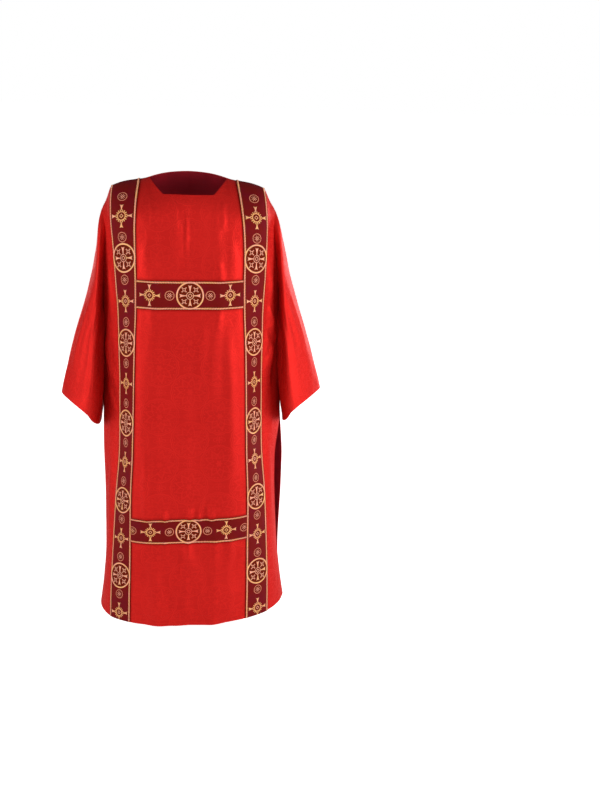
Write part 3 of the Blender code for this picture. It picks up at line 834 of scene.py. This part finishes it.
def sleeve_line(hand, panel, share, z):
    """Points of the sleeve's front or back half, at shares of the way from its outer edge round to its
    inner edge or the armhole, at heights z."""
    ring = read_row(SLEEVE, z)
    side = -1 if panel == "front" else 1
    seam, fold = body_line(panel, 4.0 * hand, z), body_line(panel, BESIDE_ARMHOLE * hand, z)
    inner = pair(hand * seam[:, 0] + np.maximum(ring.off - LEAN, 0), side * seam[:, 1])
    depth, other = (ring.front, ring.back) if panel == "front" else (ring.back, ring.front)
    middle = inner[:, 0] + (ring.out_x - inner[:, 0]) * ring.bulge
    deep = pair(middle, inner[:, 1] * DEPTH_KEPT + depth)
    behind = pair(middle, -inner[:, 1] * DEPTH_KEPT - other)
    past = pair(hand * fold[:, 0], side * fold[:, 1])
    past = past + (pair(middle, -depth) - past) * ease((VALLEY_FROM - z) / VALLEY_OVER)[:, None]
    keys = (behind, pair(ring.out_x, 0.0), deep, inner, past)
    low = through(keys, 1, np.clip(share * 2, 0, 1))
    high = through(keys, 2, np.clip(share * 2 - 1, 0, 1))
    x, forward = np.where((share < 0.5)[:, None], low, high).T
    return np.stack([hand * x, side * forward, z], axis=-1)


def sleeve_surface(hand):
    """The outer face of a sleeve, from the seam under the arm round the back and the top to it again."""
    last = SHOULDER_ROWS + ARMHOLE_ROWS
    column = 0 if hand < 0 else -1
    front, back = (surfaces[panel].even[column, : last + 1] for panel in ("front", "back"))
    loop = np.concatenate([back[::-1], front[1:]])
    far = lengths(loop)
    far -= far[len(back) - 1 + int(np.argmax(front[:, 2]))]
    turns = np.where(far < 0, 180 * far / -far[0], 180 * far / far[-1])
    depths = {}
    for side in (1, -1):
        mine = turns * side >= 0
        order = np.argsort(loop[mine, 2])
        depths[side] = loop[mine, 2][order], np.abs(turns[mine])[order]
    along = np.linspace(0, 1, SLEEVE_ROWS + 1) ** CLOSER
    even = []
    for start, turn in zip(loop, turns):
        side = 1 if turn >= 0 else -1
        cuff = CUFF_MIDDLE + CUFF_SLANT * math.cos(math.radians(turn))
        z = start[2] + (cuff - start[2]) * along
        whole = np.where(z <= UNDERARM, 180.0, np.interp(z, *depths[side]))
        share = np.clip(abs(turn) / np.maximum(whole, 1e-6), 0, 1)
        even.append(sleeve_line(hand, "front" if side > 0 else "back", share, z))
    even = np.stack(even)
    even[:, 0] = loop
    z = even[..., 2]
    across = turns[:, None] * DEGREE * np.ones_like(z)
    creases = np.array(SLEEVE_CREASES[hand]) * (DEGREE, 0.001, DEGREE, 0.001, DEGREE, 0.001)
    rise = crease_rise(creases, across, z) + unevenness(across, z, 3 + hand, SLEEVE_WAVES)
    rise *= ease(along / TOP_CALM)[None] * ease((180 - np.abs(turns)) / UNDERSIDE_CALM)[:, None]
    if hand > 0:
        even, rise, z, turns = even[::-1], rise[::-1], z[::-1], turns[::-1]
    facing = normals_of(even)
    facing *= np.sign(np.sum(facing[:, -1] * (even[:, -1] - even[:, -1].mean(axis=0)), axis=-1).sum())
    points = hang(even + facing * rise[..., None])
    u = lengths(points)
    u = u - u[int(np.argmin(np.abs(turns)))]
    return Surface(points, normals_of(points), u, lengths(points[:, ::-1], 1)[:, ::-1], z, even)


sleeves = {}
for hand, name in ((1, "sleeve_left"), (-1, "sleeve_right")):
    surfaces[name] = sleeve_surface(hand)
    points, facing, u, v, z, even = surfaces[name]
    sleeves[name] = grid_piece(f"{name}_cloth", points, u, v)
    edit(sleeves[name], bpy.ops.mesh.remove_doubles, threshold=0.00001)
    make_cloth(sleeves[name], name)

# ---------------------------------------------------------------- galloon bands
# Woven galloon 76 mm wide: a burgundy ground with gold in raised threads. A clavus runs over each
# shoulder and down to the hem on both sides, and two cross bands join the clavi. They are sewn flat on
# the damask, and their pattern is cut off where a band meets the shoulder seam, a clavus or the hem.
BRAID = 0.0012
LAY = 0.0004
REPEAT = 0.217
GOLD_LIFT = 0.0001
# On each clavus: the height of one medallion's middle, how much longer the braid's repeat is laid there,
# and the motifs left out by the shoulder, counted in quarters of a repeat up from that medallion. The
# pattern's cross lines hang lower by `droop` at the outer edge than at the inner one.
Laid = namedtuple("Laid", "medallion stretch bare droop")
CLAVI = {
    ("front", 1): Laid(-0.663, 0.2305 / REPEAT, (12, 13, 14, 15, 16), 0.0065),
    ("front", -1): Laid(-0.663, 0.2305 / REPEAT, (12, 15, 16), 0.0090),
    ("back", 1): Laid(-0.627, 0.2405 / REPEAT, (), 0.0060),
    ("back", -1): Laid(-0.627, 0.2405 / REPEAT, (10, 11, 12), 0.0060),
}
LAID_LEVEL = Laid(None, 1.0, (), 0.0)
# Above this quarter the braid is eased over the shoulder, and its motifs come a little closer.
EASED_FROM, EASING = 8, 0.955
# The ground is plain from this many quarters below the first motif left out.
PLAIN_BELOW = 0.8
CROSS_BAND_LINES = 17
# Braid: s across it from its middle, t along it for each line of points, and its face's points and normals.
Braid = namedtuple("Braid", "s t face facing")


def clavus(panel, hand):
    """The braid over a clavus, with t rising from the middle of a medallion."""
    points, facing, u, v, z, even = surfaces[panel]
    chosen = np.where((places * hand > 1 - SPARE) & (places * hand < 2 + SPARE))[0]
    middle = chosen[len(chosen) // 2]
    s = u[chosen].mean(axis=1)
    s = (s - (s[0] + s[-1]) / 2) * BAND_WIDTH / (s[-1] - s[0])
    start = np.interp(-CLAVI[panel, hand].medallion, -z[middle], v[middle])
    face = points[chosen] + facing[chosen] * (LAY + BRAID)
    t = v[chosen] - start + CLAVI[panel, hand].droop * hand * s[:, None] / BAND_WIDTH
    return Braid(s, t[:, ::-1], face[:, ::-1], facing[chosen][:, ::-1])


def cross_band(band):
    """The braid of a cross band, with s rising upwards and t to the wearer's left from its middle."""
    points, facing, u, v, z, even = surfaces[band.panel]
    chosen = np.where(np.abs(places) < 1 + SPARE)[0]
    lines = np.linspace(band.bottom, band.top, CROSS_BAND_LINES)
    face, out = (
        np.stack([along_run(-lines, -z[i], grid[i]) for i in chosen], 1) for grid in (points, facing)
    )
    out /= long(out)
    face = face + out * (LAY + BRAID)
    t = lengths(face, 1)
    t -= t[:, [len(chosen) // 2]]
    return Braid(np.linspace(-BAND_WIDTH / 2, BAND_WIDTH / 2, len(lines)), t, face, out)


def lay_on(braid, s, t, lift):
    """The places on a braid of points s across it and t along it, lifted off its face."""
    i = np.clip(np.searchsorted(braid.s, s, side="right") - 1, 0, len(braid.s) - 2)
    share = (s - braid.s[i]) / (braid.s[i + 1] - braid.s[i])
    placed = np.zeros((len(s), 3))
    for line in range(len(braid.s)):
        weight = np.where(i == line, 1 - share, np.where(i + 1 == line, share, 0.0))
        mine = np.where(weight != 0)[0]
        at = along_run(t[mine], braid.t[line], braid.face[line])
        out = along_run(t[mine], braid.t[line], braid.facing[line])
        placed[mine] += weight[mine, None] * (at + out * lift[mine, None])
    return placed


def joined(parts):
    """The points and faces of several (points, faces) as one."""
    starts = np.cumsum([0] + [len(points) for points, faces in parts])
    faces = [faces + start for (points, faces), start in zip(parts, starts)]
    return np.concatenate([points for points, faces in parts]), np.concatenate(faces)


def points_of(mesh):
    co = np.empty(len(mesh.vertices) * 3)
    mesh.vertices.foreach_get("co", co)
    return co.reshape(-1, 3)


def take_apart():
    """The points and triangles of the piece just made, which is then removed."""
    mesh = bpy.context.object.data
    mesh.calc_loop_triangles()
    points = points_of(mesh)
    tris = np.empty(len(mesh.loop_triangles) * 3, np.int32)
    mesh.loop_triangles.foreach_get("vertices", tris)
    bpy.ops.object.delete()
    return points, tris.reshape(-1, 3)


def take_scaled(*factors):
    """The same, scaled along each axis."""
    bpy.ops.object.transform_apply()
    bpy.ops.transform.resize(value=factors)
    bpy.ops.object.transform_apply()
    return take_apart()


def flat_ring(radius, thread, rise, segments, sides=6):
    """A ring of couched thread lying flat, or with 4 segments a square with its corners on the axes."""
    bpy.ops.mesh.primitive_torus_add(major_segments=segments, minor_segments=sides, major_radius=radius,
                                     minor_radius=thread)
    return take_scaled(1, 1, rise / thread)


FLARING, DENT = 2.2, 0.10
SIDES_FALL, ENDS_FALL = 0.55, 0.5


def flared_arm(inner, outer, waist, flare, rise):
    """One arm of a cross, straight up from inner to outer, flared and dented at its end."""
    bpy.ops.mesh.primitive_cube_add(size=1)
    edit(bpy.context.object, bpy.ops.mesh.subdivide, number_cuts=3)
    points, faces = take_apart()
    x, y, z = points.T
    along = y + 0.5
    width = waist + (flare - waist) * along**FLARING
    crown = (1 - SIDES_FALL * (2 * np.abs(x)) ** 3) * (1 - ENDS_FALL * (2 * np.abs(y)) ** 6)
    dent = DENT * (outer - inner) * (1 - (2 * np.abs(x)) ** 2) * (along > 0.99)
    height = np.where(z > 0, z * 2, z) * rise * crown
    return np.stack([x * width, inner + along * (outer - inner) - dent, height], 1), faces


def bead(length, width, rise, turn=0.0):
    """A small oval bead or stitch, turned by some degrees."""
    bpy.ops.mesh.primitive_uv_sphere_add(segments=6, ring_count=4, radius=0.5, rotation=(0, math.pi / 2, 0))
    return turned(take_scaled(length, width, rise * 2), turn)


def turned(part, degrees, shift=(0.0, 0.0)):
    """A part turned about its middle and then moved."""
    points, faces = part
    c, s = math.cos(math.radians(degrees)), math.sin(math.radians(degrees))
    x, y, z = points.T
    return np.stack([x * c - y * s + shift[0], x * s + y * c + shift[1], z], 1), faces


def wheel(part, count, rose, start=0.0, far=0.0):
    """A part repeated all round a middle, with its share of rose each time."""
    turns = [start + k * 360 / count for k in range(count)]
    middles = [(far * math.cos(math.radians(turn)), far * math.sin(math.radians(turn))) for turn in turns]
    return [(turned(part, turn, middle), rose) for turn, middle in zip(turns, middles)]


def together(*parts):
    """Parts of a motif as one. Each is (points, faces) with the share of rose in its gold."""
    points, faces = joined([part for part, rose in parts])
    return points, faces, np.concatenate([np.full(len(part[0]), rose) for part, rose in parts])


crosslet = together(
    (turned(flat_ring(0.0044, 0.0012, 0.0007, 4, 5), 45), 1.0),
    *wheel(flared_arm(0.0048, 0.0088, 0.0015, 0.0044, 0.0007), 4, 1.0, start=45),
)
CROSSLET_AT = 0.0158
corners = [(across * CROSSLET_AT, along * CROSSLET_AT) for across in (-1, 1) for along in (-1, 1)]
medallion = together(
    (flat_ring(0.0351, 0.0021, 0.0010, 60), 0.45),
    (flat_ring(0.0093, 0.0009, 0.0007, 32, 5), 0.8),
    (flat_ring(0.0054, 0.0012, 0.0008, 4, 5), 0.8),
    *wheel(flared_arm(0.0098, 0.0282, 0.0023, 0.0104, 0.0008), 4, 0.7),
    *((turned(crosslet[:2], 0, corner), 1.0) for corner in corners),
)
sunburst = together(
    (flat_ring(0.0104, 0.0014, 0.0009, 40, 5), 0.15),
    (flat_ring(0.0044, 0.0012, 0.0007, 4, 5), 0.6),
    *wheel(bead(0.0050, 0.0032, 0.0009), 16, 0.15, start=11.25, far=0.0140),
    *wheel(flared_arm(0.0150, 0.0290, 0.0024, 0.0104, 0.0008), 4, 0.45),
)
rosette = together(
    (flat_ring(0.0118, 0.0008, 0.0004, 36, 4), 1.6),
    (flat_ring(0.0034, 0.0012, 0.0006, 4, 4), 0.9),
    *wheel(bead(0.0036, 0.0017, 0.0006), 8, 0.9, start=22.5, far=0.0062),
    *wheel(bead(0.0020, 0.0011, 0.0004), 20, 1.6, far=0.0127),
)
stitch = bead(0.0056, 0.0032, 0.0013, 32)
STITCH_PITCH = 0.0043
ROPE_AT, ROPE_ROSE = 0.0346, 0.6
TRIMMED = 0.0004


def thread_piece(name, parts):
    """One piece made of many parts, selected."""
    points, faces = joined(parts)
    mesh = bpy.data.meshes.new(name)
    mesh.from_pydata(points.tolist(), [], faces.tolist())
    piece = bpy.data.objects.new(name, mesh)
    bpy.context.scene.collection.objects.link(piece)
    select_only(piece)
    return piece


def ornament(name, braid, laid):
    """All the gold on one braid: motifs in turn along it and a rope along each edge, cut off at its ends."""
    low, high = braid.t.min(), braid.t.max()
    quarter = REPEAT * laid.stretch / 4
    worked = []
    for k in range(math.floor(low / quarter), math.ceil(high / quarter) + 1):
        if k not in laid.bare:
            motif = (medallion, rosette, sunburst, rosette)[k % 4]
            along = min(k, EASED_FROM) + max(k - EASED_FROM, 0) * EASING
            worked.append((motif, 0.0, along * quarter, laid.stretch))
    for side in (-1, 1):
        mirrored = together(((stitch[0] * (side, 1, 1), stitch[1][:, ::side]), ROPE_ROSE))
        for k in range(int((high - low) / STITCH_PITCH) + 1):
            worked.append((mirrored, side * ROPE_AT, low + k * STITCH_PITCH, 1.0))
    parts = [(motif[0] * (1, longer, 1) + (s, t, 0), motif[1]) for motif, s, t, longer in worked]
    piece = thread_piece(name, parts)
    mesh = piece.data
    rose = np.concatenate([motif[2] for motif, s, t, longer in worked])
    mesh.attributes.new("rose", "FLOAT", "POINT").data.foreach_set("value", rose.astype(np.float32))
    for row, outwards in ((0, -1), (-1, 1)):
        first, last = Vector((braid.s[0], braid.t[0, row], 0)), Vector((braid.s[-1], braid.t[-1, row], 0))
        square = Vector((-(last - first).y, (last - first).x, 0)).normalized() * outwards
        edit(piece, bpy.ops.mesh.bisect, plane_co=first - square * TRIMMED, plane_no=square, use_fill=True,
             clear_outer=True)
    s, t, rise = points_of(mesh).T
    placed = lay_on(braid, s, t, rise + GOLD_LIFT)
    mesh.vertices.foreach_set("co", placed.reshape(-1).astype(np.float32))
    mesh.update()
    bpy.ops.object.shade_smooth()
    return piece


# Galloon ground: ribbed burgundy, browner within the medallions and beside the ropes, and pale under them.
DEEP_BURGUNDY, BRIGHT_BURGUNDY = (0.145, 0.0052, 0.0050), (0.215, 0.0080, 0.0080)
COOL_BURGUNDY, BROWN = (0.165, 0.0048, 0.0115), (0.140, 0.0100, 0.0022)
UNDER_ROPE = (0.660, 0.220, 0.120)
galloon, make, shader = new_material(
    "burgundy_galloon", Specular_IOR_Level=0.15, Specular_Tint=(1.0, 0.2, 0.15),
)
band_map = make.own_map()
in_band = make.xyz(band_map)
along = make.math("WRAP", in_band["Y"], REPEAT / 2, -REPEAT / 2)
aside = make.math("ABSOLUTE", in_band["X"])
aside_squared = make.math("POWER", in_band["X"], 2.0)
far = make.math("SQRT", make.math("ADD", aside_squared, make.math("POWER", along, 2.0)))
inside = make.math("MULTIPLY", make.step(far, 0.0345, 0.0335), make.carried("worked"))
beside = make.step(aside, 0.0295, 0.0312)


def within(at, radius):
    """1 inside a circle about the places `at` along from the middle of each medallion."""
    off = make.math("SUBTRACT", make.math("ABSOLUTE", along), at)
    away = make.math("SQRT", make.math("ADD", aside_squared, make.math("MULTIPLY", off, off)))
    return make.step(away, radius, radius - 0.0008)


small = make.most(within(REPEAT / 4, 0.0116), within(REPEAT / 2, 0.0094))
speck = make.streaks(band_map, 420.0, 900.0)
burgundy = make.mix(make.step(speck, 0.35, 0.7), DEEP_BURGUNDY, BRIGHT_BURGUNDY)
burgundy = make.mix(make.step(make.noise(band_map, 26.0), 0.4, 0.7), burgundy, COOL_BURGUNDY)
coloured = make.mix(make.most(inside, beside, make.scaled(small, 0.5)), burgundy, BROWN)
make.finish(
    shader,
    make.mix(make.line(aside, ROPE_AT, 0.0016, 0.0003), coloured, UNDER_ROPE),
    make.scaled(speck, 0.2, 0.55),
    make.bump(make.ribs(band_map, 180.0, "Y"), 0.5, 0.0003),
)

# Gold thread: yellow to rose, by how much rose each motif's thread has, and dull beyond that.
DEEP_GOLD, BRIGHT_GOLD = (0.940, 0.440, 0.140), (1.000, 0.520, 0.190)
ROSE_GOLD, DULL_ROSE = (1.000, 0.440, 0.290), (0.860, 0.300, 0.170)
gold, make, shader = new_material("gold_thread", Metallic=0.15, Specular_IOR_Level=0.5)
rosy = make.carried("rose")
where = make.node("ShaderNodeTexCoord").outputs["Object"]
patchy = make.noise(where, 34.0)
yellow = make.mix(make.step(patchy, 0.35, 0.7), DEEP_GOLD, BRIGHT_GOLD)
rosier = make.scaled(make.math("SUBTRACT", 0.5, patchy), 2.0, rosy)
pink = make.mix(make.step(rosier, 0.1, 0.9), yellow, ROSE_GOLD)
make.finish(
    shader,
    make.mix(make.step(rosy, 1.1, 1.6), pink, DULL_ROSE),
    make.scaled(patchy, 0.2, 0.30),
    make.bump(make.ribs(where, 420.0, "DIAGONAL"), 0.6, 0.0003),
)


def galloon_piece(node, braid, laid, upright):
    """The ground and the gold of one band."""
    s = braid.s[:, None] * np.ones_like(braid.t)
    t = braid.t / laid.stretch
    eased = EASED_FROM * REPEAT / 4
    t = np.where(t > eased, eased + (t - eased) / EASING, t)
    plain_from = (min(laid.bare, default=math.inf) - PLAIN_BELOW) * REPEAT / 4
    worked = (t < plain_from).astype(float)
    grids = (braid.face, s, t, worked)
    face, s, t, worked = (grid[:, ::-1] if upright else grid[::-1].swapaxes(0, 1) for grid in grids)
    ground = grid_piece(node + "_galloon", face, s, t, outwards=node.startswith("front"), worked=worked)
    ground.data.materials.append(galloon)
    give_wall(ground, BRAID)
    threads = ornament(node + "_gold", braid, laid)
    threads.data.materials.append(gold)
    for piece in (ground, threads):
        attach(piece, "root")
    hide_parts(node)


for panel in ("front", "back"):
    for hand, side in ((1, "left"), (-1, "right")):
        galloon_piece(f"{panel}_clavus_{side}", clavus(panel, hand), CLAVI[panel, hand], True)
for node, band in BANDS.items():
    galloon_piece(node, cross_band(band), LAID_LEVEL, False)

# ---------------------------------------------------------------- sewing
# Rows of machine stitches in red polyester thread that hold the turned edges: close round the neck,
# along the hem, round both cuffs, and down both edges of the slits.
THREAD_PITCH = 0.0038
THREAD_LIFT = 0.0001
NECK_ROW, HEM_ROW, CUFF_ROW, SLIT_ROW = 0.006, 0.030, 0.025, 0.009
DEEP_THREAD, BRIGHT_THREAD = (0.420, 0.0100, 0.0090), (0.600, 0.0170, 0.0140)
red_thread, make, shader = new_material(
    "red_thread", Specular_IOR_Level=0.4, Specular_Tint=(1.0, 0.2, 0.15),
)
plies = make.ribs(make.node("ShaderNodeTexCoord").outputs["Object"], 900.0, "DIAGONAL")
make.finish(
    shader,
    make.mix(plies, DEEP_THREAD, BRIGHT_THREAD),
    make.scaled(plies, 0.15, 0.32),
    make.bump(plies, 0.5, 0.0001),
)
lockstitch = bead(0.0029, 0.0006, 0.0003)


def line_at(measure, at, *grids):
    """A line over a surface: in each column, the point of every grid where the measure is `at`."""
    return [np.array([along_run(at, far, run) for far, run in zip(measure, grid)]) for grid in grids]


def stitches(name, lines):
    """Stitches laid end to end, a little apart, along lines of points with their facings."""
    parts = []
    for line, facing in lines:
        far = lengths(line)
        middles = np.arange(THREAD_PITCH / 2, far[-1], THREAD_PITCH)
        at, ahead, up = (along_run(middles, far, grid) for grid in (line, np.gradient(line, axis=0), facing))
        up /= long(up)
        ahead -= up * np.sum(ahead * up, axis=-1, keepdims=True)
        ahead /= long(ahead)
        x, y, rise = lockstitch[0].T
        for place, one, two, three in zip(at, ahead, np.cross(up, ahead), up):
            laid = place + np.outer(x, one) + np.outer(y, two) + np.outer(rise + THREAD_LIFT, three)
            parts.append((laid, lockstitch[1]))
    piece = thread_piece(name, parts)
    bpy.ops.object.shade_smooth()
    piece.data.materials.append(red_thread)
    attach(piece, "root")


# The rows stop a little short of the neck points, the bands' edges and the tops of the slits.
CLEAR = 0.02
for panel in ("front", "back"):
    points, facing, u, v, z, even = surfaces[panel]
    neck = np.abs(places) < NECK_TIP - CLEAR
    lines = [line_at(v[neck][:, :1] - v[neck], NECK_ROW, points[neck], facing[neck])]
    for low, high in ((-4.0, -2.01), (-0.99, 0.99), (2.01, 4.0)):
        chosen = (places >= low) & (places <= high)
        lines.append(line_at(-v[chosen], -HEM_ROW, points[chosen], facing[chosen]))
    for hand, edge in ((1, -1), (-1, 0)):
        chosen = places * hand > 3
        rows = z[edge] < SLIT_TOP - CLEAR
        inwards = np.abs(u[edge][None] - u[chosen])[:, rows].T
        grids = [grid[chosen][:, rows].transpose(1, 0, 2)[:, ::-hand] for grid in (points, facing)]
        lines.append(line_at(inwards[:, ::-hand], SLIT_ROW, *grids))
    stitches(f"{panel}_stitching", lines)
for name in sleeves:
    points, facing, u, v, z, even = surfaces[name]
    stitches(f"{name}_stitching", [line_at(-v, -CUFF_ROW, points, facing)])

# ---------------------------------------------------------------- floor, light and camera
# A plain white floor, wide enough to meet the white surroundings without a line, and soft light from
# tall boxes on both sides, with weaker ones in front and behind.
FLOOR = -1.330
bpy.ops.mesh.primitive_plane_add(size=80, location=(0, 0, FLOOR))
floor = bpy.context.object
floor.name = "floor"
SELF_WHITE, SEEN_WHITE, LIT_WHITE = 0.89, 0.86, 0.14
paper, make, shader = new_material(
    "white_paper", Roughness=0.9, Base_Color=(0.90, 0.90, 0.90), Emission_Color=(1.0, 1.0, 1.0),
)
seen = make.node("ShaderNodeLightPath").outputs["Is Camera Ray"]
make.feed(shader, {"Emission Strength": make.scaled(seen, SELF_WHITE)})
floor.data.materials.append(paper)

# The surroundings are plain white to look at and light the cloth softly.
world = bpy.data.worlds.new("studio")
bpy.context.scene.world = world
world.use_nodes = True
make = Maker(world.node_tree)
seen = make.node("ShaderNodeLightPath").outputs["Is Camera Ray"]
make.feed(world.node_tree.nodes["Background"], {
    "Color": (1.0, 1.0, 1.0),
    "Strength": make.scaled(seen, SEEN_WHITE, LIT_WHITE),
})

# Name, place, aim, width, height and power of each soft box.
BOXES = (
    ("left_box", (-2.4, -1.20, 0.05), (0, 0, -0.6), 1.6, 2.0, 50),
    ("right_box", (2.4, -1.20, 0.05), (0, 0, -0.6), 1.6, 2.0, 66),
    ("front_box", (0.1, -3.0, 1.5), (0, 0, -0.4), 1.6, 1.0, 13),
    ("back_left_box", (2.1, 2.3, -0.70), (0, 0, -0.7), 1.2, 1.1, 34),
    ("back_right_box", (-1.4, 2.8, -0.80), (0, 0, -0.7), 1.2, 1.0, 11),
)
for name, place, aim, width, height, power in BOXES:
    bpy.ops.object.light_add(type="AREA", location=place)
    box = bpy.context.object
    box.name = name
    box.data.shape = "RECTANGLE"
    box.data.size = width
    box.data.size_y = height
    box.data.energy = power
    box.rotation_euler = (Vector(aim) - Vector(place)).to_track_quat("-Z", "Y").to_euler()

PITCH = 17.217
YAW = 6.178
ROLL = 1.759
bpy.ops.object.camera_add(location=(0.0, -3.0, 0.300))
camera = bpy.context.object
camera.data.lens = 48.5
turn = Matrix.Rotation(math.radians(-YAW), 4, "Z") @ Matrix.Rotation(math.radians(90 - PITCH), 4, "X")
camera.rotation_euler = (turn @ Matrix.Rotation(math.radians(ROLL), 4, "Z")).to_euler()
bpy.context.scene.camera = camera
bpy.context.scene.view_settings.view_transform = "Standard"
bpy.context.scene.view_settings.look = "None"
